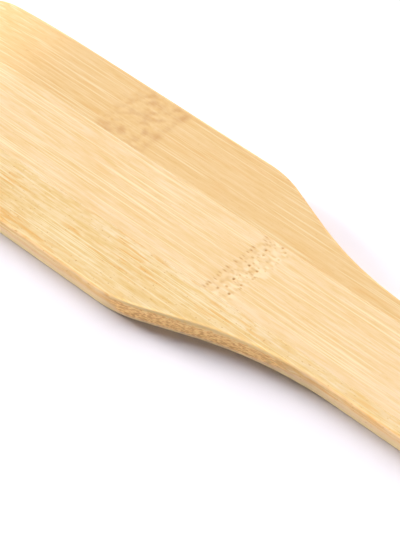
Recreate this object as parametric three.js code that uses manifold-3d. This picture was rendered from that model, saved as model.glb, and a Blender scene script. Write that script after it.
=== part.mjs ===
// Flat folding and burnishing tool, edge-glued from three strips of bamboo.
// Units are millimetres. The tool lies flat on z = 0 with its length along X:
// the thin working end of the blade is at -X and the end of the handle at +X.
// +Y is the right side and -Y the left side, seen from above by whoever holds the handle.

import * as THREE from 'three';
import { mergeVertices } from 'three/addons/utils/BufferGeometryUtils.js';
import Module from 'manifold-3d';

// Driving dimensions
const OVERALL_LENGTH = 300;
const BLADE_WIDTH = 60;
const HANDLE_WIDTH = 32.4;
const THICKNESS = 4.6;

// Plan outline
const BLADE_LENGTH = 105;        // from the working edge to where the shoulders begin
const SHOULDER_RADIUS = 32;      // convex arc that leaves the blade's straight side
const NECK_RADIUS = 103;         // concave arc that runs out into the handle
const FLANK_ANGLE = THREE.MathUtils.degToRad(21.1);
const TIP_CROWN_RADIUS = 190;    // slight outward bow of the working edge
const TIP_CORNER_RADIUS = 15;
const END_CROWN_RADIUS = 34;
const END_CORNER_RADIUS = 10;

// Thinned working end
const TIP_THICKNESS = 1.8;
const TAPER_LENGTH = 42;

// Sanded edges
const TOP_EDGE_RADIUS = 0.7;
const SHOULDER_EDGE_RADIUS = 1.1; // the top edge is rounded further round the shoulders
const SHOULDER_BLEND = 26;        // half length of the stretch that is rounded further
const BOTTOM_EDGE_RADIUS = 0.5;
const MAX_ROUND_SHARE = 0.42;     // of the thickness, where the board is thin

// Glue lines, as distances from the centre line, and the thickness of the cured glue.
// The glue's faces fall on sixteenths of a millimetre, so that both sides of a joint meet exactly.
const LEFT_GLUE_Y = -12.375;
const RIGHT_GLUE_Y = 10.4375;
const GLUE_THICKNESS = 0.125;

// Fineness of the mesh
const ARC_STEP = THREE.MathUtils.degToRad(2.2);
const CORNER_STEP = THREE.MathUtils.degToRad(14);
const TAPER_STATIONS = 9;
const ROUND_STEPS = 3;

const TIP_X = -OVERALL_LENGTH / 2;
const END_X = OVERALL_LENGTH / 2;
const BLADE_HALF = BLADE_WIDTH / 2;
const HANDLE_HALF = HANDLE_WIDTH / 2;
const SHOULDER_X = TIP_X + BLADE_LENGTH;
const CUTTER_MARGIN = 20;

const BAMBOO = { color: 0xf7d5a1, roughness: 0.5, metalness: 0 };
const PALE_BAMBOO = { color: 0xf9dcb4, roughness: 0.5, metalness: 0 };
const GLUE = { color: 0xc99f63, roughness: 0.4, metalness: 0 };

// Points of an arc, each with the direction that points out of the board.
// turn is +1 where the board is inside the arc and -1 where it is outside.
function arc(cx, cy, radius, from, to, step, turn) {
  const count = Math.max(2, Math.ceil(Math.abs(to - from) / step));
  return Array.from({ length: count + 1 }, (_, i) => {
    const angle = from + ((to - from) * i) / count;
    const nx = Math.cos(angle);
    const ny = Math.sin(angle);
    return { x: cx + radius * nx, y: cy + radius * ny, nx: turn * nx, ny: turn * ny };
  });
}

// Half of a bowed end with a rounded corner, from the centre line out to the straight side.
// It is drawn for an end that faces -X; the other end is its mirror image.
function bowedEnd(endX, halfWidth, crownRadius, cornerRadius) {
  const crownX = endX + crownRadius;
  const cornerY = halfWidth - cornerRadius;
  const cornerX = crownX - Math.sqrt((crownRadius - cornerRadius) ** 2 - cornerY ** 2);
  const meet = Math.atan2(cornerY, cornerX - crownX);
  const crown = arc(crownX, 0, crownRadius, Math.PI, meet, ARC_STEP, 1);
  const corner = arc(cornerX, cornerY, cornerRadius, meet, Math.PI / 2, CORNER_STEP, 1);
  return [...crown, ...corner.slice(1)];
}

// Stations along the straight side of the blade, where the top surface is curved.
function taperSide(fromX) {
  const toX = TIP_X + TAPER_LENGTH;
  return Array.from({ length: TAPER_STATIONS }, (_, i) => {
    const x = fromX + ((toX - fromX) * (i + 1)) / TAPER_STATIONS;
    return { x, y: BLADE_HALF, nx: 0, ny: 1 };
  });
}

// The shoulder, the short straight flank and the neck, ending on the side of the handle.
function shoulderAndNeck() {
  const sine = Math.sin(FLANK_ANGLE);
  const drop = 1 - Math.cos(FLANK_ANGLE);
  const flankDrop = BLADE_HALF - HANDLE_HALF - (SHOULDER_RADIUS + NECK_RADIUS) * drop;
  const flankRun = flankDrop / Math.tan(FLANK_ANGLE);
  const neckEndX = SHOULDER_X + (SHOULDER_RADIUS + NECK_RADIUS) * sine + flankRun;
  const up = Math.PI / 2;
  const shoulderY = BLADE_HALF - SHOULDER_RADIUS;
  const neckY = HANDLE_HALF + NECK_RADIUS;
  const shoulder = arc(SHOULDER_X, shoulderY, SHOULDER_RADIUS, up, up - FLANK_ANGLE, ARC_STEP, 1);
  const neck = arc(neckEndX, neckY, NECK_RADIUS, -up - FLANK_ANGLE, -up, ARC_STEP, -1);
  return { points: [...shoulder, ...neck], middleX: (SHOULDER_X + neckEndX) / 2 };
}

const NECK = shoulderAndNeck();

// The right-hand half of the outline, from the middle of the working edge to the middle
// of the handle's end.
function halfOutline() {
  const tip = bowedEnd(TIP_X, BLADE_HALF, TIP_CROWN_RADIUS, TIP_CORNER_RADIUS);
  const end = bowedEnd(-END_X, HANDLE_HALF, END_CROWN_RADIUS, END_CORNER_RADIUS);
  const mirrored = end.map((p) => ({ x: -p.x, y: p.y, nx: -p.nx, ny: p.ny })).reverse();
  return [...tip, ...taperSide(tip[tip.length - 1].x), ...NECK.points, ...mirrored];
}

// Height of the top surface: level, then falling away smoothly to the thin working edge.
function thicknessAt(x) {
  const along = Math.min(1, (x - TIP_X) / TAPER_LENGTH);
  return THICKNESS - (THICKNESS - TIP_THICKNESS) * (1 - along) ** 2;
}

function topRadiusAt(x) {
  const distance = Math.min(1, Math.abs(x - NECK.middleX) / SHOULDER_BLEND);
  const extra = (SHOULDER_EDGE_RADIUS - TOP_EDGE_RADIUS) * (1 - distance ** 2) ** 2;
  return Math.min(TOP_EDGE_RADIUS + extra, MAX_ROUND_SHARE * thicknessAt(x));
}

function bottomRadiusAt(x) {
  return Math.min(BOTTOM_EDGE_RADIUS, MAX_ROUND_SHARE * thicknessAt(x));
}

// One closed ring of points. Its share of the way round the rounded edge runs from 0,
// where the side is upright, to 1, where the flat face begins.
function ring(outline, share, isTop) {
  const angle = (share * Math.PI) / 2;
  const right = outline.map((p) => {
    const radius = isTop ? topRadiusAt(p.x) : bottomRadiusAt(p.x);
    const inset = radius * (1 - Math.cos(angle));
    const rounded = radius * (1 - Math.sin(angle));
    const x = p.x - p.nx * inset;
    return [x, p.y - p.ny * inset, isTop ? thicknessAt(x) - rounded : rounded];
  });
  right[0][1] = 0;
  right[right.length - 1][1] = 0;
  const left = right.slice(1, -1).reverse().map(([x, y, z]) => [x, -y, z]);
  return [...right, ...left];
}

// The whole board before it is divided into strips: rings stacked from the bottom face
// to the top face, and each flat face closed by rungs from side to side.
function boardGeometry() {
  const outline = halfOutline();
  const shares = Array.from({ length: ROUND_STEPS + 1 }, (_, i) => i / ROUND_STEPS);
  const bottom = shares.map((share) => ring(outline, share, false)).reverse();
  const top = shares.map((share) => ring(outline, share, true));
  const rings = [...bottom, ...top];
  const size = rings[0].length;
  const half = outline.length - 1;
  const index = [];

  for (let level = 0; level < rings.length - 1; level += 1) {
    for (let i = 0; i < size; i += 1) {
      const next = (i + 1) % size;
      const low = level * size;
      const high = low + size;
      index.push(low + i, high + i, low + next, low + next, high + i, high + next);
    }
  }

  // The rungs at both ends of the outline run to a single point.
  const closeFace = (start, facesUp) => {
    const triangle = (a, b, c) => {
      index.push(start + a, start + (facesUp ? b : c), start + (facesUp ? c : b));
    };
    for (let i = 0; i < half; i += 1) {
      const left = (size - i) % size;
      const nextLeft = size - i - 1;
      if (i > 0) triangle(i, left, nextLeft);
      if (i < half - 1) triangle(i, nextLeft, i + 1);
    }
  };
  closeFace(0, false);
  closeFace((rings.length - 1) * size, true);

  const geometry = new THREE.BufferGeometry();
  geometry.setAttribute('position', new THREE.Float32BufferAttribute(rings.flat(2), 3));
  geometry.setIndex(index);
  return geometry;
}

const wasm = await Module();
wasm.setup();

function toSolid(geometry) {
  const bare = geometry.clone();
  bare.deleteAttribute('normal');
  bare.deleteAttribute('uv');
  const merged = mergeVertices(bare);
  return new wasm.Manifold(new wasm.Mesh({
    numProp: 3,
    vertProperties: new Float32Array(merged.attributes.position.array),
    triVerts: new Uint32Array(merged.index.array),
  }));
}

function toGeometry(solid) {
  const mesh = solid.getMesh();
  const geometry = new THREE.BufferGeometry();
  geometry.setAttribute('position', new THREE.BufferAttribute(mesh.vertProperties, 3));
  geometry.setIndex(new THREE.BufferAttribute(mesh.triVerts, 1));
  geometry.computeVertexNormals();
  return geometry;
}

// What is left of the board between two upright planes that run along its length.
function slice(board, lowY, highY) {
  const length = OVERALL_LENGTH + CUTTER_MARGIN;
  const height = THICKNESS + CUTTER_MARGIN;
  const slab = new THREE.BoxGeometry(length, highY - lowY, height);
  slab.translate(0, (lowY + highY) / 2, 0);
  return toGeometry(board.intersect(toSolid(slab)));
}

function piece(name, geometry, finish) {
  const mesh = new THREE.Mesh(geometry, new THREE.MeshStandardMaterial(finish));
  mesh.name = name;
  return mesh;
}

const board = toSolid(boardGeometry());
const halfGlue = GLUE_THICKNESS / 2;
const outside = BLADE_HALF + CUTTER_MARGIN;

const tool = new THREE.Group();
tool.add(
  piece('left_strip', slice(board, -outside, LEFT_GLUE_Y - halfGlue), BAMBOO),
  piece('left_glue_line', slice(board, LEFT_GLUE_Y - halfGlue, LEFT_GLUE_Y + halfGlue), GLUE),
  piece('centre_strip', slice(board, LEFT_GLUE_Y + halfGlue, RIGHT_GLUE_Y - halfGlue), PALE_BAMBOO),
  piece('right_glue_line', slice(board, RIGHT_GLUE_Y - halfGlue, RIGHT_GLUE_Y + halfGlue), GLUE),
  piece('right_strip', slice(board, RIGHT_GLUE_Y + halfGlue, outside), BAMBOO),
);

export default tool;
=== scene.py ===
"""Flat bamboo folding tool: dense strip meshes and procedural bamboo round the CAD frame.

Lengths are millimetres in the shape functions and become metres when a mesh is made.
X runs along the tool towards the end of the handle, +Y is the right side, Z is up.
"""
import math

import bpy
import numpy as np
from mathutils import Matrix, Vector
from mathutils.geometry import delaunay_2d_cdt


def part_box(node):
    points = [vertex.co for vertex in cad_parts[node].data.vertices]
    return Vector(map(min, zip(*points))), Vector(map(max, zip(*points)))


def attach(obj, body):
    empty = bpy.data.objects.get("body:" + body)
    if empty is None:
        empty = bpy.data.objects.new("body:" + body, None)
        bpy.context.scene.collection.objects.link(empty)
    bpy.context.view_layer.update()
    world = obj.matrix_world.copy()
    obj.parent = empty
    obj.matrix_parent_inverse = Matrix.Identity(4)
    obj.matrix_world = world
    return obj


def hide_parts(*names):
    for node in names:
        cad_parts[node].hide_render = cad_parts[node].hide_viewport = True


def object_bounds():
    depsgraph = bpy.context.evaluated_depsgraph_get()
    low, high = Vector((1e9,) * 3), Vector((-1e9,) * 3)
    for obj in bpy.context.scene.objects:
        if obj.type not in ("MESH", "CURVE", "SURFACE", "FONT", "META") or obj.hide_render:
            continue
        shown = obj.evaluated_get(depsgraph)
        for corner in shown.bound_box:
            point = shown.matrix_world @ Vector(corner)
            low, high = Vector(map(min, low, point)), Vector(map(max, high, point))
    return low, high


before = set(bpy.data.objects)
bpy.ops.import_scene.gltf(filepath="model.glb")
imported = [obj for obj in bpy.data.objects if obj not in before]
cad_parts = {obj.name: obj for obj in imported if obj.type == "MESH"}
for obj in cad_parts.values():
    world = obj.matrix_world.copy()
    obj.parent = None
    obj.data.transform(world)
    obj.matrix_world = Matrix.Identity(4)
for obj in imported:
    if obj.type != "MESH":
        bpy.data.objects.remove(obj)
cad_low, cad_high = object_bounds()

MM = 0.001

# Sizes that the frame gives
LENGTH, WIDTH, THICKNESS = (side / MM for side in (cad_high - cad_low))
LEFT_JOINT = tuple(corner.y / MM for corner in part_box("left_glue_line"))
RIGHT_JOINT = tuple(corner.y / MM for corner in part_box("right_glue_line"))

# Outline, as in the CAD model
TIP_X = -LENGTH / 2
END_X = LENGTH / 2
BLADE_HALF = WIDTH / 2
HANDLE_HALF = 16.2
SHOULDER_X = TIP_X + 105
SHOULDER_RADIUS = 32
NECK_RADIUS = 103
FLANK_ANGLE = math.radians(21.1)
TIP_CROWN_RADIUS = 190
TIP_CORNER_RADIUS = 15
END_CROWN_RADIUS = 34
END_CORNER_RADIUS = 10
TIP_THICKNESS = 1.8
TAPER_LENGTH = 42
TOP_EDGE_RADIUS = 0.7
SHOULDER_EDGE_RADIUS = 1.1
SHOULDER_BLEND = 26
BOTTOM_EDGE_RADIUS = 0.5
MAX_ROUND_SHARE = 0.42

# Fineness of the strip meshes
EDGE_SPACING = 0.45          # along the outline
ROUND_LEVELS = 9             # steps in from the outline over the rounded edges
GRID_X = 0.75                # along the grain
GRID_Y = 0.36                # across it
NODE_GRID = 0.17             # in the sharp node band
WALL_ROWS = 7

# Relief
FIBRE_DEPTH = 0.02
PIT_DEPTH = 0.11
PORE_DEPTH = 0.04
JOINT_DEPTH = 0.008
JOINT_REACH = 0.15
GLUE_DEPTH = 0.01
TOP_GRAIN_REACH = 1.25       # how far in from the outline the ends of cut fibres show
BOTTOM_GRAIN_REACH = 1.0
SHARP_ANGLE = math.radians(55)

# Where each node band starts and ends along its strip, and its marks
CENTRE_NODE = (-28.7, -18.5)
RIGHT_NODE = (-88.3, -69.8)
NODE_MIRROR_Y = -1.05        # the underside shows the centre strip's marks mirrored about this line
TICKS = np.array([-12.1, -11.1, -10.3, -8.5, -7.2, -6.25, -5.0, -3.65, -1.05, 0.6, 1.65, 3.3, 4.3,
                  5.45, 9.0, 10.1])
PITS = (                     # x, y and strength
    (-24.9, 6.7, 0.9), (-24.3, 0.2, 1.0), (-23.9, -5.6, 1.15), (-21.4, -9.9, 0.9),
    (-21.7, 0.0, 0.75), (-22.5, 10.0, 0.7), (-21.3, -5.9, 0.7), (-23.5, -8.5, 0.6),
    (-24.6, -10.3, 0.65), (-24.2, 5.0, 0.5), (-21.0, 9.2, 0.45), (-24.1, 1.4, 0.35),
    (-20.7, -1.8, 0.45), (-20.7, -2.6, 0.4),
)
PIT_SIZE = (0.34, 0.3)
END_SPOTS = ((27.0, 1.9, 0.4), (17.2, 1.5, 0.36), (21.5, 1.0, 0.22))   # y, size and strength
FLECKS_PER_MM2 = 0.28
TOP_SEED = 101
BOTTOM_SEED = 201
WALL_SEED = 301
GLUE_SEED = 91
FLOOR_SEED = 95

# Sizes of the bamboo's features along x, y and z
BROAD_SIZE = (60, 3.4, 2.6)
STREAK_SIZE = (14, 0.95, 0.8)
FIBRE_SIZE = (6, 0.36, 0.36)
MOTTLE_SIZE = (2.0, 0.6, 0.6)
SPECKLE_SIZE = (1.6, 0.8, 0.8)
HONEY_SIZE = (7, 0.9, 0.9)
HONEY_PATCH_SIZE = (28, 5, 5)
PIN_SIZE = (0.9, 0.4, 0.4)
LINE_SIZE = (36, 0.38, 0.5)
RAGGED_SIZE = (2.5, 0.4, 0.4)
CUT_SIZE = (2.2, 0.42, 0.28)
POLISH_SIZE = (20, 0.6, 0.6)

# Where the colour changes
FOOT_HEIGHT = 3.4            # painted bounce light on the foot of a side that runs along the grain fades out here
CUT_FOOT_DROP = 2.0          # how much lower it fades out where the fibres are cut
LIFT_TOP = 4.2               # painted side light where fibres are cut weakens from this height down to the next, a painted shade towards the bottom
LIFT_FOOT = 1.2
HANDLE_FADE_X = (0, 45)      # the bamboo grows paler along this stretch
LEFT_FADE_Y = (-20, -13)     # and the left strip across this one

# Colours, linear; a tone multiplies the colour of its strip
LEFT_COLOUR = (0.572, 0.386, 0.149)
CENTRE_COLOUR = (0.60, 0.404, 0.184)
RIGHT_COLOUR = (0.556, 0.345, 0.122)
DARK_TONE = (0.93, 0.84, 0.54)
PALE_TONE = (1.05, 1.15, 1.48)
PALER_TONE = (1.04, 1.09, 1.32)
LINE_TONE = (1.08, 1.30, 1.85)
HONEY_TONE = (0.97, 0.76, 0.36)
STAIN_TONE = (0.70, 0.48, 0.14)
PIT_TONE = (0.26, 0.20, 0.12)
FLECK_TONE = (1.08, 1.30, 1.75)
CUT_DARK = (0.92, 0.72, 0.50)
CUT_PALE = (1.46, 1.42, 1.38)
# painted light: pales the upper part of the upright sides
SIDE_LIGHT_TONE = (1.20, 1.13, 1.16)
# painted highlight on the rounded edges round the top face
RIM_LIGHT_TONE = (1.5, 1.47, 1.55)
# painted bounce light from the floor on the foot of the sides
FOOT_BOUNCE_TONE = (1.25, 1.45, 2.75)
PAINTED_SHEEN = (0.067, 0.067, 0.067, 1.0)     # painted sheen, added to every colour in place of a stronger real sheen
PALEST = (0.94, 0.665, 0.335, 1.0)     # no bamboo is paler than this
SATIN_IOR = 1.12             # a faint sheen, so that light from behind leaves little white glare
GLUE_DARK = (0.56, 0.36, 0.15, 1.0)
GLUE_PALE = (0.62, 0.42, 0.19, 1.0)
FLOOR_TONE = (0.80, 0.76, 0.81, 1.0)
WORLD_COLOUR = (1.0, 0.98, 1.0, 1.0)

# Each strip's seed, colour, strength of grain, strength of honey streaks and strength of painted light
# on its sides and rounded edges
LEFT_LOOK = {"seed": 11, "colour": LEFT_COLOUR, "contrast": 1.5, "honey": 1.0, "painted_edge_light": 1.0,
             "fade_y": LEFT_FADE_Y}
CENTRE_LOOK = {"seed": 31, "colour": CENTRE_COLOUR, "contrast": 1.0, "honey": 0.3, "painted_edge_light": 0.6}
RIGHT_LOOK = {"seed": 51, "colour": RIGHT_COLOUR, "contrast": 0.95, "honey": 0.3, "painted_edge_light": 0.1}

# Stage
FLOOR_HALF = 6000
FLOOR_GAP = 0.02             # how far it lies below the tool

# Light. Azimuth 0 shines from +X and 90 from +Y; spread is the width of the bright disc, and
# glossy says whether the light shows in reflections.
MAIN_LIGHT = {"azimuth": 147, "elevation": 21.3, "spread": 77, "strength": 8.3, "glossy": True}
LOW_LIGHT = {"azimuth": 183, "elevation": 8, "spread": 14, "strength": 7.2, "glossy": False}
SKY_STRENGTH = 0.05
HORIZON_STRENGTH = 7.0
HORIZON_TOP = 0.11           # sine of the elevation where the pale horizon ends

# Camera, in metres; azimuth 0 looks along +Y
CAMERA_TARGET = (-0.0325, -0.0081, 0.0046)
CAMERA_DISTANCE = 0.5921
CAMERA_AZIMUTH = math.radians(43.03)
CAMERA_ELEVATION = math.radians(45.12)
CAMERA_ROLL = math.radians(0.595)
CAMERA_LENS = 169.72

FAR_INSIDE = 50.0            # stands for an inset that is past every rounded edge


# ---------------------------------------------------------------- shape of the board

def smooth(low, high, value):
    share = np.clip((value - low) / (high - low), 0, 1)
    return share * share * (3 - 2 * share)


def soft_noise(x, y, seed):
    """Smooth noise from -1 to 1 with features about one unit across."""
    table = np.random.default_rng(seed).uniform(-1, 1, (256, 256))
    x0, y0 = np.floor(x).astype(int), np.floor(y).astype(int)
    sx, sy = smooth(0, 1, x - x0), smooth(0, 1, y - y0)

    def corner(i, j):
        return table[(x0 + i) % 256, (y0 + j) % 256]

    near = corner(0, 0) * (1 - sx) + corner(1, 0) * sx
    far = corner(0, 1) * (1 - sx) + corner(1, 1) * sx
    return near * (1 - sy) + far * sy


def arc(cx, cy, radius, start, stop, turn):
    """Points of an arc with the direction out of the board; turn is -1 on a hollow arc."""
    count = max(3, math.ceil(abs(stop - start) * radius / EDGE_SPACING))
    angle = np.linspace(start, stop, count + 1)
    normal = np.stack([np.cos(angle), np.sin(angle)], 1)
    return np.hstack([np.array([cx, cy]) + radius * normal, turn * normal])


def line(start, stop):
    """Points between two ends of a straight side, without the ends themselves."""
    run = stop[:2] - start[:2]
    length = math.hypot(*run)
    count = max(2, math.ceil(length / EDGE_SPACING))
    share = np.linspace(0, 1, count + 1)[1:-1, None]
    normal = np.array([-run[1], run[0]]) / length
    return np.hstack([start[:2] + share * run, np.tile(normal, (count - 1, 1))])


def bowed_end(end_x, half_width, crown_radius, corner_radius):
    """Half of an end that faces -X, from the centre line out to the straight side."""
    crown_x = end_x + crown_radius
    corner_y = half_width - corner_radius
    corner_x = crown_x - math.sqrt((crown_radius - corner_radius) ** 2 - corner_y ** 2)
    meet = math.atan2(corner_y, corner_x - crown_x)
    crown = arc(crown_x, 0, crown_radius, math.pi, meet, 1)
    corner = arc(corner_x, corner_y, corner_radius, meet, math.pi / 2, 1)
    return np.vstack([crown, corner[1:]])


def right_outline():
    """The right half of the outline, from the middle of the working edge to the far end."""
    sine, drop = math.sin(FLANK_ANGLE), 1 - math.cos(FLANK_ANGLE)
    arcs = SHOULDER_RADIUS + NECK_RADIUS
    flank_run = (BLADE_HALF - HANDLE_HALF - arcs * drop) / math.tan(FLANK_ANGLE)
    neck_end = SHOULDER_X + arcs * sine + flank_run
    up = math.pi / 2
    tip = bowed_end(TIP_X, BLADE_HALF, TIP_CROWN_RADIUS, TIP_CORNER_RADIUS)
    end = bowed_end(-END_X, HANDLE_HALF, END_CROWN_RADIUS, END_CORNER_RADIUS)
    end = (end * np.array([-1, 1, -1, 1]))[::-1]
    shoulder_y = BLADE_HALF - SHOULDER_RADIUS
    shoulder = arc(SHOULDER_X, shoulder_y, SHOULDER_RADIUS, up, up - FLANK_ANGLE, 1)
    neck = arc(neck_end, HANDLE_HALF + NECK_RADIUS, NECK_RADIUS, -up - FLANK_ANGLE, -up, -1)
    outline = np.vstack([tip, line(tip[-1], shoulder[0]), shoulder, line(shoulder[-1], neck[0]),
                         neck, line(neck[-1], end[0]), end])
    return outline, (SHOULDER_X + neck_end) / 2


OUTLINE, NECK_MIDDLE = right_outline()


def thickness_at(x):
    """Level, then falling away smoothly to the thin working edge."""
    along = np.minimum(1, (x - TIP_X) / TAPER_LENGTH)
    return THICKNESS - (THICKNESS - TIP_THICKNESS) * (1 - along) ** 2


def top_radius_at(x):
    distance = np.minimum(1, np.abs(x - NECK_MIDDLE) / SHOULDER_BLEND)
    extra = (SHOULDER_EDGE_RADIUS - TOP_EDGE_RADIUS) * (1 - distance ** 2) ** 2
    return np.minimum(TOP_EDGE_RADIUS + extra, MAX_ROUND_SHARE * thickness_at(x))


def bottom_radius_at(x):
    return np.minimum(BOTTOM_EDGE_RADIUS, MAX_ROUND_SHARE * thickness_at(x))


def rounding(radius, inset):
    """How far a rounded edge lies from the flat face at a distance in from the outline."""
    left = np.maximum(0, radius - inset)
    return radius - np.sqrt(radius ** 2 - left ** 2)


# ---------------------------------------------------------------- plan of one strip
# A plan point is a row of x, y, its inset from the outline, and the direction out of the
# board (0, 0 on a glued side).

def rounded_reach(x):
    """How far in from the outline the wider of the two rounded edges goes."""
    return np.maximum(top_radius_at(x), bottom_radius_at(x))


def edge_ring(level):
    """The whole outline moved inwards to one level of the rounded edges."""
    x, y, nx, ny = OUTLINE.T
    inset = rounded_reach(x) * (1 - math.cos(level / ROUND_LEVELS * math.pi / 2))
    right = np.stack([x - nx * inset, y - ny * inset, inset, nx, ny], 1)
    right[[0, -1], 1] = 0
    left = right[1:-1][::-1] * np.array([1, -1, 1, 1, -1])
    return np.vstack([right, left])


def cut_ring(ring, y, side):
    """The part of a closed ring on one side of a line along the grain."""
    kept = []
    for here, after in zip(ring, np.roll(ring, -1, axis=0)):
        a, b = side * (here[1] - y), side * (after[1] - y)
        if a >= 0:
            kept.append(here)
        if a * b < 0:
            crossing = here + (after - here) * a / (a - b)
            crossing[1] = y
            kept.append(crossing)
    return np.array(kept)


def joint_row(rings, y):
    """Points along a glued side, ordered by x, with every ring's crossings."""
    crossings = np.vstack([ring[ring[:, 1] == y] for ring in rings])
    crossings = crossings[np.argsort(crossings[:, 0])]
    middle = len(crossings) // 2
    low, high = crossings[middle - 1, 0], crossings[middle, 0]
    x = np.linspace(low, high, math.ceil((high - low) / GRID_X) + 1)[1:-1]
    between = np.zeros((len(x), 5))
    between[:, 0], between[:, 1], between[:, 2] = x, y, FAR_INSIDE
    row = np.vstack([crossings[:middle], between, crossings[middle:]])
    row[:, 3:] = 0
    return row


def half_width_at(x, margin):
    """Distance from the centre line to the flat face's border, below 0 past its ends."""
    inset = rounded_reach(OUTLINE[:, 0]) + margin
    moved = OUTLINE[:, :2] - OUTLINE[:, 2:] * inset[:, None]
    return np.interp(x, moved[:, 0], moved[:, 1], left=-1, right=-1)


def mesh_grid(x, y):
    return np.stack([a.ravel() for a in np.meshgrid(x, y)], 1)


def face_points(low_y, high_y, node):
    """Points spread over the flat face, closer together in a sharp node band."""
    x = np.arange(TIP_X, END_X, GRID_X)
    columns = round((high_y - low_y - 2 * JOINT_REACH) / GRID_Y)
    y = np.linspace(low_y + JOINT_REACH, high_y - JOINT_REACH, columns + 1)
    if node:
        x = x[(x < node[0] - GRID_X / 2) | (x > node[1] + GRID_X / 2)]
    points = mesh_grid(x, y)
    if node:
        fine_y = np.arange(low_y + JOINT_REACH, high_y - JOINT_REACH / 2, NODE_GRID)
        points = np.vstack([points, mesh_grid(np.arange(*node, NODE_GRID), fine_y)])
    points = points[np.abs(points[:, 1]) < half_width_at(points[:, 0], GRID_Y / 2)]
    rows = np.zeros((len(points), 5))
    rows[:, :2], rows[:, 2] = points, FAR_INSIDE
    return rows


def strip_plan(low_y, high_y, node):
    """All plan points of a strip, its triangles, and its border as a loop of point numbers.

    Triangles outside the outline are left out.
    """
    rings = [edge_ring(level) for level in range(ROUND_LEVELS + 1)]
    rings = [cut_ring(cut_ring(ring, low_y, 1), high_y, -1) for ring in rings]
    joints = {y: joint_row(rings, y) for y in (low_y, high_y) if (rings[0][:, 1] == y).any()}
    border = []
    outer = rings[0]
    for here, after in zip(outer, np.roll(outer, -1, axis=0)):
        border.append(here)
        if here[1] == after[1] and here[1] in joints:
            row = joints[here[1]][1:-1]
            border.extend(row if after[0] > here[0] else row[::-1])
    inner = [ring[(ring[:, 1] != low_y) & (ring[:, 1] != high_y)] for ring in rings[1:]]
    rows = np.vstack([np.array(border), *inner, face_points(low_y, high_y, node)])
    count = len(border)
    loop = [(i, (i + 1) % count) for i in range(count)]
    flat = [Vector(row[:2]) for row in rows]
    _, _, triangles, origins, _, _ = delaunay_2d_cdt(flat, loop, [], 1, 1e-5, True)
    origin = np.array([ids[0] for ids in origins])
    place = {number: i for i, number in enumerate(origin)}
    rows, triangles = rows[origin], np.array(triangles)
    middle = rows[triangles].mean(axis=1)
    inside = np.abs(middle[:, 1]) < np.interp(middle[:, 0], OUTLINE[:, 0], OUTLINE[:, 1])
    return rows, triangles[inside], np.array([place[i] for i in range(count)])


# ---------------------------------------------------------------- marks in the bamboo
# Stain runs from -1, a pale fleck, through 0, plain bamboo, to 1, a dark pit.

def spot(x, y, at, size):
    """A round or oval mark that fades out from its middle."""
    return np.exp(-((x - at[0]) / size[0]) ** 2 - ((y - at[1]) / size[1]) ** 2)


def band_mask(x, ends, fade):
    return smooth(ends[0] - fade, ends[0] + fade, x) * (1 - smooth(ends[1] - fade, ends[1] + fade, x))


def node_share(x, y, ends):
    """1 in a node band, whose far border is soft and ragged."""
    ragged = x + 1.3 * soft_noise(y / 0.9, x / 4, TOP_SEED)
    return smooth(ends[0], ends[0] + 1.5, x) * (1 - smooth(ends[1] - 2.5, ends[1] + 1.5, ragged))


def put_spot(stain, x, y, at, size, strength):
    """Adds one dark spot to a stain, looking only at the points near it."""
    near = (np.abs(x - at[0]) < 3 * size[0]) & (np.abs(y - at[1]) < 3 * size[1])
    stain[near] = np.maximum(stain[near], strength * spot(x[near], y[near], at, size))


def tick_row(x, y, at_x, rows_y, rng):
    """Short dark cuts along the grain, where the bundles turn into the node."""
    stain = np.zeros_like(x)
    for row_y in rows_y:
        size = (rng.uniform(0.45, 0.75), rng.uniform(0.17, 0.24))
        at = (at_x + rng.uniform(-0.35, 0.35), row_y)
        put_spot(stain, x, y, at, size, rng.uniform(0.5, 0.75))
    return stain


def fleck_field(x, y, ends, y_ends, rng):
    """Small brown flecks scattered over a node band."""
    stain = np.zeros_like(x)
    count = round(FLECKS_PER_MM2 * (ends[1] - ends[0]) * (y_ends[1] - y_ends[0]))
    for _ in range(count):
        at = (rng.uniform(*ends), rng.uniform(*y_ends))
        size = (rng.uniform(0.3, 0.6), rng.uniform(0.18, 0.28))
        put_spot(stain, x, y, at, size, rng.uniform(0.15, 0.45))
    return stain


def centre_stain(x, y, seed):
    """The node band of the centre strip: a row of ticks, then flecks, pits and pale spots."""
    rng = np.random.default_rng(seed)
    start, stop = CENTRE_NODE
    y_ends = (LEFT_JOINT[1], RIGHT_JOINT[0])
    wander = 0.8 * soft_noise(y / 2.6, 0 * y, seed)
    inside = band_mask(x, (start + 1, stop - 1.5), 1.2)
    pale_area = band_mask(x - wander, (start + 3.6, stop - 0.6), 2)
    pale = smooth(0.0, 0.7, soft_noise(x / 1.6, y / 0.65, seed + 1)) * pale_area
    stain = 0.26 * soft_noise(x / 1.1, y / 0.7, seed + 2) * inside - 0.75 * pale
    ticks = TICKS if seed == TOP_SEED else 2 * NODE_MIRROR_Y - TICKS[::-1]
    dark = tick_row(x, y, start + 1.2, ticks, rng)
    dark = np.maximum(dark, fleck_field(x, y, (start + 2.4, stop - 1), y_ends, rng))
    for pit_x, pit_y, strength in PITS:
        at = (pit_x, pit_y if seed == TOP_SEED else 2 * NODE_MIRROR_Y - pit_y)
        put_spot(dark, x, y, at, PIT_SIZE, strength)
    return np.where(dark > 0.1, 0.3 * np.maximum(stain, 0) + dark, stain)


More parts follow.
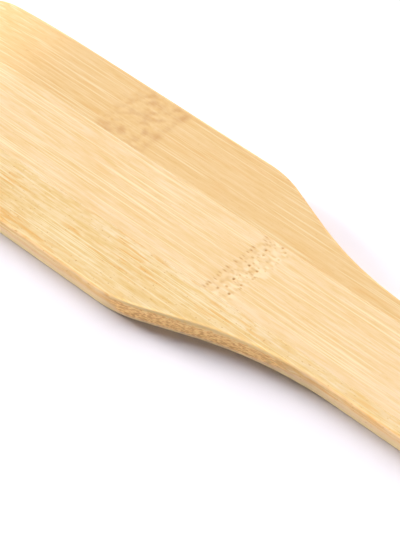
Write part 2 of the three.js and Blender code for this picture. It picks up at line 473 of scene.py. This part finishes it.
def right_stain(x, y, seed):
    """The node band of the right strip: slanting brown blotches that end in a darker line."""
    start, stop = RIGHT_NODE
    along, across = x + 0.9 * y, y - 0.9 * x
    wander = 1.6 * soft_noise(y / 4, 0 * y, seed)
    inside = band_mask(x + wander, (start + 3, stop - 2), 3.5)
    blotch = soft_noise(across / 1.7, along / 2.6, seed + 1)
    fine = soft_noise(x / 1.1, y / 0.8, seed + 2)
    line_x = stop - 1.6 + 0.7 * soft_noise(y / 2.5, 0 * y, seed + 3)
    end_line = (0.1 + 0.08 * fine) * np.exp(-((x - line_x) / 0.8) ** 2)
    stain = inside * (0.08 + 0.27 * blotch + 0.1 * fine) + end_line
    for end_y, size_y, strength in END_SPOTS:
        put_spot(stain, x, y, (stop - 1.6, end_y), (1.1, size_y), strength)
    return stain


def left_stain(x, y, seed):
    """Faint brown streaks."""
    return 0.08 * np.maximum(0, soft_noise(x / 2.4, y / 1.1, seed))


# ---------------------------------------------------------------- strip meshes

def end_grain_at(rows, reach):
    """How much a point shows cut fibre ends: on edges that run across the grain."""
    across = smooth(0.06, 0.24, np.abs(rows[:, 3]))
    return across * (1 - smooth(0.25 * reach, reach, rows[:, 2]))


def relief(rows, stain, end_grain, joints, seed):
    """How far sanding, pits, pores and the joints lie below the plain face."""
    x, y = rows[:, 0], rows[:, 1]
    fine = soft_noise(x / 16, y / 0.95, seed)
    broad = soft_noise(x / 45, y / 2.6, seed + 1)
    pore = np.maximum(0, soft_noise(x / 0.8, y / 0.5, seed + 2))
    depth = FIBRE_DEPTH * (0.5 + 0.35 * fine + 0.15 * broad)
    depth += PIT_DEPTH * np.clip(stain, 0, 1) ** 1.5 + PORE_DEPTH * end_grain * pore
    for joint_y in joints:
        depth += JOINT_DEPTH * np.maximum(0, 1 - np.abs(y - joint_y) / JOINT_REACH)
    return depth


def side_share(radius, inset):
    """1 on the upright side, falling to 0 where the flat face begins."""
    return 1 - smooth(0, 1, inset / radius)


def rim_share(radius, inset):
    """1 on a rounded edge, falling to 0 just past it on the flat face."""
    return smooth(0, 0.3, inset / radius) * (1 - smooth(0.7, 1.5, inset / radius))


def face_layer(rows, joints, stain_at, is_top):
    """Points and named values of the top or the bottom face of a strip."""
    seed = TOP_SEED if is_top else BOTTOM_SEED
    x, y, inset = rows[:, :3].T
    radius = top_radius_at(x) if is_top else bottom_radius_at(x)
    stain = stain_at(x, y, seed)
    grain = end_grain_at(rows, TOP_GRAIN_REACH if is_top else BOTTOM_GRAIN_REACH)
    depth = relief(rows, stain, grain, joints, seed + 7)
    if is_top:
        height = thickness_at(x) - rounding(radius, inset) - depth
    else:
        height = rounding(radius, inset) + depth
    values = {"stain": stain, "end_grain": grain, "side": side_share(radius, inset),
              "rim": rim_share(radius, inset) * is_top}
    return np.stack([x, y, height], 1), values


def wall_layers(edge, low, high, grain):
    """Rows of points up the side of a strip, with pores where the fibres are cut."""
    steps = np.diff(edge[:, :2], axis=0, prepend=edge[:1, :2])
    run = np.cumsum(np.hypot(*steps.T))
    layers = []
    for level in range(1, WALL_ROWS):
        points = low + (high - low) * level / WALL_ROWS
        pore = np.maximum(0, soft_noise(run / 0.75, points[:, 2] / 0.45, WALL_SEED))
        streak = 0.5 + 0.5 * soft_noise(run / 9, points[:, 2] / 0.6, WALL_SEED + 1)
        push = PORE_DEPTH * pore * grain + FIBRE_DEPTH * streak
        points[:, :2] -= edge[:, 3:] * push[:, None]
        layers.append(points)
    return layers


def fill_mesh(name, points, faces, values):
    """An object from points in millimetres, with named numbers at its points for the material."""
    mesh = bpy.data.meshes.new(name)
    mesh.from_pydata(points * MM, [], faces)
    for key, numbers in values.items():
        attribute = mesh.attributes.new(key, "FLOAT", "POINT")
        attribute.data.foreach_set("value", numbers.astype(np.float32))
    mesh.shade_smooth()
    mesh.set_sharp_from_angle(angle=SHARP_ANGLE)
    piece = bpy.data.objects.new(name, mesh)
    bpy.context.scene.collection.objects.link(piece)
    return piece


def make_strip(name, y_ends, node, fine, stain_at):
    """A closed strip; node is its node band and fine says whether that needs a fine mesh."""
    rows, triangles, loop = strip_plan(*y_ends, node if fine else None)
    joints = [y for y in y_ends if abs(y) < BLADE_HALF]
    top, top_values = face_layer(rows, joints, stain_at, True)
    bottom, bottom_values = face_layer(rows, joints, stain_at, False)
    edge = rows[loop]
    wall_grain = smooth(0.06, 0.24, np.abs(edge[:, 3]))
    layers = wall_layers(edge, bottom[loop], top[loop], wall_grain)

    count, size = len(rows), len(loop)
    starts = 2 * count + size * np.arange(len(layers))
    wall = [loop + count, *(start + np.arange(size) for start in starts), loop]
    faces = [*triangles.tolist(), *(triangles[:, ::-1] + count).tolist()]
    for below, above in zip(wall, wall[1:]):
        quads = np.stack([below, above, np.roll(above, -1), np.roll(below, -1)], 1)
        faces.extend(quads.tolist())

    in_node = node_share(rows[:, 0], rows[:, 1], node) if node else np.zeros(count)
    top_values["node"] = bottom_values["node"] = in_node
    wall_values = {"stain": 0.5 * top_values["stain"][loop], "end_grain": wall_grain,
                   "side": np.ones(size), "rim": np.zeros(size), "node": in_node[loop]}
    values = {key: np.concatenate([top_values[key], bottom_values[key],
                                   np.tile(wall_values[key], len(layers))]) for key in wall_values}
    return fill_mesh(name, np.vstack([top, bottom, *layers]), faces, values)


def make_joint(name, y_ends, row_y, side):
    """The thin film of cured glue, lying a little below the faces of the strips."""
    rings = [cut_ring(edge_ring(level), row_y, side) for level in range(ROUND_LEVELS + 1)]
    row = joint_row(rings, row_y)
    x, inset = row[:, 0], row[:, 2]
    top = thickness_at(x) - rounding(top_radius_at(x), inset) - GLUE_DEPTH
    bottom = rounding(bottom_radius_at(x), inset) + GLUE_DEPTH
    low_y, high_y = y_ends
    corners = [(low_y, bottom), (high_y, bottom), (high_y, top), (low_y, top)]
    size = len(row)
    points = np.vstack([np.stack([x, np.full(size, y), z], 1) for y, z in corners])
    faces = [[0, size * 3, size * 2, size], [size - 1, size * 2 - 1, size * 3 - 1, size * 4 - 1]]
    step = np.arange(size - 1)
    for corner in range(4):
        a, b = size * corner + step, size * ((corner + 1) % 4) + step
        faces.extend(np.stack([a, b, b + 1, a + 1], 1).tolist())
    return fill_mesh(name, points, faces, {})


# ---------------------------------------------------------------- materials

class Surface:
    """A material whose nodes are added one call at a time."""

    def __init__(self, name, **constants):
        self.material = bpy.data.materials.new(name)
        self.material.use_nodes = True
        self.tree = self.material.node_tree
        self.shader = self.tree.nodes["Principled BSDF"]
        for socket, value in constants.items():
            self.shader.inputs[socket.replace("_", " ")].default_value = value
        coordinates = self.tree.nodes.new("ShaderNodeTexCoord")
        self.place = coordinates.outputs["Object"]

    def add(self, kind, inputs, output=0, **settings):
        """Adds a node; an input is another node's output or a plain value."""
        node = self.tree.nodes.new(kind)
        for key, value in settings.items():
            setattr(node, key, value)
        for key, value in inputs.items():
            if isinstance(value, bpy.types.NodeSocket):
                self.tree.links.new(value, node.inputs[key])
            else:
                node.inputs[key].default_value = value
        return node.outputs[output]

    def math(self, operation, *values, clamp=False):
        return self.add("ShaderNodeMath", dict(enumerate(values)), operation=operation,
                        use_clamp=clamp)

    def scaled(self, value, gain, offset=0.0):
        return self.math("MULTIPLY_ADD", value, gain, offset)

    def total(self, first, *others):
        for other in others:
            first = self.math("ADD", first, other)
        return first

    def noise(self, size, seed, detail=0.0):
        """Noise from 0 to 1 whose features have the given size in millimetres along each axis."""
        scale = [1 / (side * MM) for side in size]
        shift = (17.3 * seed, 41.9 * seed, 29.7 * seed)
        place = self.add("ShaderNodeMapping", {"Vector": self.place, "Location": shift, "Scale": scale})
        return self.add("ShaderNodeTexNoise", {"Vector": place, "Scale": 1.0, "Detail": detail})

    def swing(self, size, seed, gain, detail=0.0):
        """Noise that swings round 0."""
        return self.scaled(self.noise(size, seed, detail), gain, -gain / 2)

    def step(self, value, low, high):
        """0 below low, 1 above high, smooth between."""
        return self.add("ShaderNodeMapRange", {"Value": value, "From Min": low, "From Max": high},
                        interpolation_type="SMOOTHSTEP")

    def parts(self, vector):
        """The x, y and z of a vector."""
        node = self.tree.nodes.new("ShaderNodeSeparateXYZ")
        self.tree.links.new(vector, node.inputs["Vector"])
        return node.outputs

    def value(self, name):
        return self.add("ShaderNodeAttribute", {}, output="Fac", attribute_name=name)

    def mix(self, share, first, second, blend="MIX"):
        return self.add("ShaderNodeMix", {0: share, 6: first, 7: second}, output=2,
                        data_type="RGBA", blend_type=blend)

    def ramp(self, value, stops):
        """A colour from (position, colour) stops."""
        node = self.tree.nodes.new("ShaderNodeValToRGB")
        while len(node.color_ramp.elements) < len(stops):
            node.color_ramp.elements.new(0.5)
        for element, (position, colour) in zip(node.color_ramp.elements, stops):
            element.position = position
            element.color = colour
        self.tree.links.new(value, node.inputs["Fac"])
        return node.outputs["Color"]

    def tinted(self, share, colour, tone):
        """A share of a colour multiplied by a tone."""
        return self.mix(share, colour, self.mix(1.0, colour, (*tone, 1.0), blend="MULTIPLY"))

    def link(self, socket, value):
        self.tree.links.new(value, self.shader.inputs[socket])


def tint(colour, factors):
    return tuple(a * b for a, b in zip(colour, factors)) + (1.0,)


def grain_tone(s, seed, contrast, honey, calm, in_node):
    """Streaks and fibres round 0.5, and in a node band a finer speckle."""
    broad = s.swing(BROAD_SIZE, seed, 0.5 * contrast)
    streak = s.swing(STREAK_SIZE, seed + 1, contrast, 1.0)
    fibre = s.swing(FIBRE_SIZE, seed + 2, 1.1 * contrast, 1.0)
    mottle = s.swing(MOTTLE_SIZE, seed + 10, 0.7 * honey)
    grain = s.math("MULTIPLY", s.total(broad, streak, fibre, mottle), calm)
    speckle = s.swing(SPECKLE_SIZE, seed + 4, contrast, 1.0)
    return s.total(grain, s.math("MULTIPLY", speckle, in_node), 0.5)


def add_streaks(s, wood, seed, colour, honey, calm):
    """Honey streaks in patches, small brown pins and long thin pale lines."""
    streaks = s.step(s.noise(HONEY_SIZE, seed + 5, 1.5), 0.5, 0.7)
    where = s.step(s.noise(HONEY_PATCH_SIZE, seed + 6), 0.36, 0.6)
    streaks = s.math("MULTIPLY", s.math("MULTIPLY", streaks, where), calm)
    wood = s.mix(s.scaled(streaks, honey), wood, tint(colour, HONEY_TONE))
    pins = s.step(s.noise(PIN_SIZE, seed + 11), 0.74, 0.8)
    wood = s.mix(s.scaled(pins, 0.7 * honey), wood, tint(colour, STAIN_TONE))
    lines = s.math("MULTIPLY", s.step(s.noise(LINE_SIZE, seed + 3), 0.6, 0.7), calm)
    return s.mix(s.scaled(lines, 0.85), wood, tint(colour, LINE_TONE))


def add_marks(s, wood, colour):
    """The brown stains, dark pits and pale flecks that the mesh carries."""
    stain = s.value("stain")
    brown = s.math("MULTIPLY", stain, 1.6, clamp=True)
    wood = s.mix(brown, wood, tint(colour, STAIN_TONE))
    wood = s.mix(s.step(stain, 0.7, 1.05), wood, tint(colour, PIT_TONE))
    pale = s.math("MULTIPLY", stain, -1.0, clamp=True)
    return s.mix(pale, wood, tint(colour, FLECK_TONE))


def add_cut_fibres(s, wood, seed, colour, painted_edge_light, end_grain, specks):
    """Specks where fibres are cut across, behind a ragged border; on a rounded rim a painted highlight
    pales them, and the strip's painted edge light lifts their colour.
    """
    border = s.math("MULTIPLY", end_grain, s.scaled(end_grain, -4.0, 4.0))
    ragged = s.math("MULTIPLY", s.swing(RAGGED_SIZE, seed + 9, 1.4), border)
    cut_share = s.step(s.total(end_grain, ragged), 0.2, 0.9)
    rim = s.value("rim")
    # on the rounded rim the cut fibres go half way to the pale tone, a painted highlight
    paleness = s.math("MULTIPLY_ADD", specks, s.scaled(rim, -0.5, 1.0), s.scaled(rim, 0.5))
    # the strip's painted edge light also lifts the colour of its cut fibres
    cut_colour = [(0.75 + 0.25 * painted_edge_light) * part for part in colour]
    cut = s.mix(paleness, tint(cut_colour, CUT_DARK), tint(cut_colour, CUT_PALE))
    return s.mix(cut_share, wood, cut)


def add_painted_edge_light(s, wood, colour, painted_edge_light, end_grain, height):
    """Painted light: paler sides with painted bounce light on their foot, and paler rounded edges round
    the top face; where fibres are cut the painted side light fades towards the bottom.
    """
    side = s.scaled(s.value("side"), painted_edge_light)
    # painted bounce light from the floor, strongest at the foot of the sides
    foot_top = s.scaled(end_grain, -CUT_FOOT_DROP * MM, FOOT_HEIGHT * MM)
    foot = s.step(s.math("DIVIDE", height, foot_top), 1.0, 0.0)
    wood = s.mix(s.math("MULTIPLY", side, foot), wood, tint(colour, FOOT_BOUNCE_TONE))
    # where fibres are cut the painted side light weakens towards the bottom, a painted shade
    rise = s.scaled(s.step(height, LIFT_TOP * MM, LIFT_FOOT * MM), -0.45)
    lift = s.math("MULTIPLY_ADD", rise, end_grain, 1.0)
    upper = s.math("MULTIPLY", s.math("MULTIPLY", side, lift), s.scaled(foot, -1.0, 1.0))
    wood = s.tinted(upper, wood, SIDE_LIGHT_TONE)
    # painted highlight on the rounded edges, strongest where fibres are cut
    rims = s.math("MULTIPLY", s.value("rim"), s.scaled(end_grain, 0.5 * painted_edge_light, 0.5 * painted_edge_light))
    return s.tinted(rims, wood, RIM_LIGHT_TONE)


def bamboo(name, seed, colour, contrast, honey, painted_edge_light, fade_y=None):
    """Sanded bamboo: the strength of its grain, of its honey streaks and of the painted light on its
    sides and rounded edges.

    Towards the handle it grows paler and calmer. Between the two fade_y it also grows paler
    across the strip.
    """
    s = Surface(name, IOR=SATIN_IOR)
    along, across, height = s.parts(s.place)
    in_node = s.value("node")
    end_grain = s.value("end_grain")
    handle = s.step(along, *(x * MM for x in HANDLE_FADE_X))
    calm = s.math("MULTIPLY", s.scaled(in_node, -0.6, 1.0), s.scaled(handle, -0.4, 1.0))
    paler = handle
    if fade_y:
        paler = s.math("MAXIMUM", handle, s.step(across, *(y * MM for y in fade_y)))
    specks = s.step(s.noise(CUT_SIZE, seed + 7, 1.0), 0.36, 0.62)

    tone = grain_tone(s, seed, contrast, honey, calm, in_node)
    wood = s.ramp(tone, [(0.0, tint(colour, DARK_TONE)), (0.5, tint(colour, (1, 1, 1))),
                         (1.0, tint(colour, PALE_TONE))])
    wood = s.tinted(paler, wood, PALER_TONE)
    wood = add_streaks(s, wood, seed, colour, honey, calm)
    wood = add_marks(s, wood, colour)
    wood = add_cut_fibres(s, wood, seed, colour, painted_edge_light, end_grain, specks)
    wood = add_painted_edge_light(s, wood, colour, painted_edge_light, end_grain, height)
    # painted sheen over every colour
    wood = s.mix(1.0, wood, PAINTED_SHEEN, blend="ADD")
    s.link("Base Color", s.mix(1.0, wood, PALEST, blend="DARKEN"))

    rough = s.total(s.swing(POLISH_SIZE, seed + 8, 0.25), s.scaled(end_grain, 0.18), 0.48)
    s.link("Roughness", rough)
    bumps = s.total(s.swing(FIBRE_SIZE, seed + 2, 0.5, 1.0), s.math("MULTIPLY", specks, end_grain))
    bump = s.add("ShaderNodeBump", {"Height": bumps, "Strength": 0.5, "Distance": 0.03 * MM})
    s.link("Normal", bump)
    return s.material


def cured_glue():
    """Honey coloured glue, a little uneven."""
    s = Surface("cured_glue", IOR=1.5)
    tone = s.noise((6, 1, 0.8), GLUE_SEED, 1.0)
    s.link("Base Color", s.ramp(tone, [(0.3, GLUE_DARK), (0.7, GLUE_PALE)]))
    s.link("Roughness", s.swing((3, 1, 1), GLUE_SEED + 1, 0.2))
    return s.material


def paper():
    """Matt and nearly even."""
    s = Surface("pale_floor", IOR=1.4, Roughness=0.9)
    tone = s.noise((60, 60, 60), FLOOR_SEED, 2.0)
    s.link("Base Color", s.ramp(tone, [(0.3, FLOOR_TONE), (0.7, tint(FLOOR_TONE, (1.02, 1.02, 1.02)))]))
    return s.material


# ---------------------------------------------------------------- build

def dress(piece, node, material):
    """Gives a piece its material and ties it to the CAD node that it replaces."""
    piece.data.materials.append(material)
    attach(piece, "root")
    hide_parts(node)


def build_tool():
    """Three strips, and the two films of glue between them."""
    left_ends = (-BLADE_HALF - 1, LEFT_JOINT[0])
    centre_ends = (LEFT_JOINT[1], RIGHT_JOINT[0])
    right_ends = (RIGHT_JOINT[1], BLADE_HALF + 1)
    left = make_strip("left_bamboo_strip", left_ends, None, False, left_stain)
    dress(left, "left_strip", bamboo("left_bamboo", **LEFT_LOOK))
    centre = make_strip("centre_bamboo_strip", centre_ends, CENTRE_NODE, True, centre_stain)
    dress(centre, "centre_strip", bamboo("centre_bamboo", **CENTRE_LOOK))
    right = make_strip("right_bamboo_strip", right_ends, RIGHT_NODE, False, right_stain)
    dress(right, "right_strip", bamboo("right_bamboo", **RIGHT_LOOK))

    glue = cured_glue()
    left_film = make_joint("left_glue_film", LEFT_JOINT, LEFT_JOINT[0], -1)
    dress(left_film, "left_glue_line", glue)
    right_film = make_joint("right_glue_film", RIGHT_JOINT, RIGHT_JOINT[1], 1)
    dress(right_film, "right_glue_line", glue)


def build_stage():
    """A floor that reaches past every edge of the picture."""
    corners = FLOOR_HALF * np.array([[-1, -1], [1, -1], [1, 1], [-1, 1]])
    points = np.hstack([corners, np.full((4, 1), -FLOOR_GAP)])
    floor = fill_mesh("floor", points, [[0, 1, 2, 3]], {})
    floor.data.materials.append(paper())


def soft_sun(name, azimuth, elevation, spread, strength, glossy):
    """A broad disc of light, far enough away to light the whole floor evenly."""
    light = bpy.data.lights.new(name, "SUN")
    light.angle = math.radians(spread)
    light.energy = strength
    sun = bpy.data.objects.new(name, light)
    sun.visible_glossy = glossy
    turn = Matrix.Rotation(math.radians(azimuth + 90), 4, "Z")
    sun.matrix_world = turn @ Matrix.Rotation(math.radians(90 - elevation), 4, "X")
    bpy.context.scene.collection.objects.link(sun)


def build_world():
    """Dim light from above and a bright horizon; the camera sees plain white instead.

    It is left out of reflections.
    """
    world = bpy.data.worlds.new("studio")
    world.use_nodes = True
    nodes, links = world.node_tree.nodes, world.node_tree.links
    direction = nodes.new("ShaderNodeTexCoord").outputs["Generated"]
    height = nodes.new("ShaderNodeSeparateXYZ")
    links.new(direction, height.inputs[0])
    level = nodes.new("ShaderNodeMapRange")
    level.interpolation_type = "SMOOTHSTEP"
    level.inputs["From Min"].default_value = HORIZON_TOP
    level.inputs["From Max"].default_value = 0.6 * HORIZON_TOP
    level.inputs["To Min"].default_value = SKY_STRENGTH
    level.inputs["To Max"].default_value = HORIZON_STRENGTH
    links.new(height.outputs["Z"], level.inputs["Value"])
    seen = nodes.new("ShaderNodeMix")
    links.new(nodes.new("ShaderNodeLightPath").outputs["Is Camera Ray"], seen.inputs["Factor"])
    links.new(level.outputs["Result"], seen.inputs["A"])
    seen.inputs["B"].default_value = 1.0
    background = nodes["Background"]
    background.inputs["Color"].default_value = WORLD_COLOUR
    links.new(seen.outputs["Result"], background.inputs["Strength"])
    world.cycles_visibility.glossy = False
    bpy.context.scene.world = world


def build_camera():
    """The camera stands CAMERA_DISTANCE from the point it looks at."""
    lens = bpy.data.cameras.new("camera")
    lens.lens = CAMERA_LENS
    lens.clip_start = 0.01
    lens.clip_end = 50
    camera = bpy.data.objects.new("camera", lens)
    turn = Matrix.Rotation(CAMERA_AZIMUTH, 4, "Z")
    tilt = Matrix.Rotation(math.pi / 2 - CAMERA_ELEVATION, 4, "X")
    roll = Matrix.Rotation(CAMERA_ROLL, 4, "Z")
    back = Matrix.Translation((0, 0, CAMERA_DISTANCE))
    camera.matrix_world = Matrix.Translation(CAMERA_TARGET) @ turn @ tilt @ roll @ back
    bpy.context.scene.collection.objects.link(camera)
    bpy.context.scene.camera = camera


build_tool()
build_stage()
soft_sun("main_light", **MAIN_LIGHT)
soft_sun("low_light", **LOW_LIGHT)
build_world()
build_camera()
bpy.context.scene.view_settings.view_transform = "Standard"
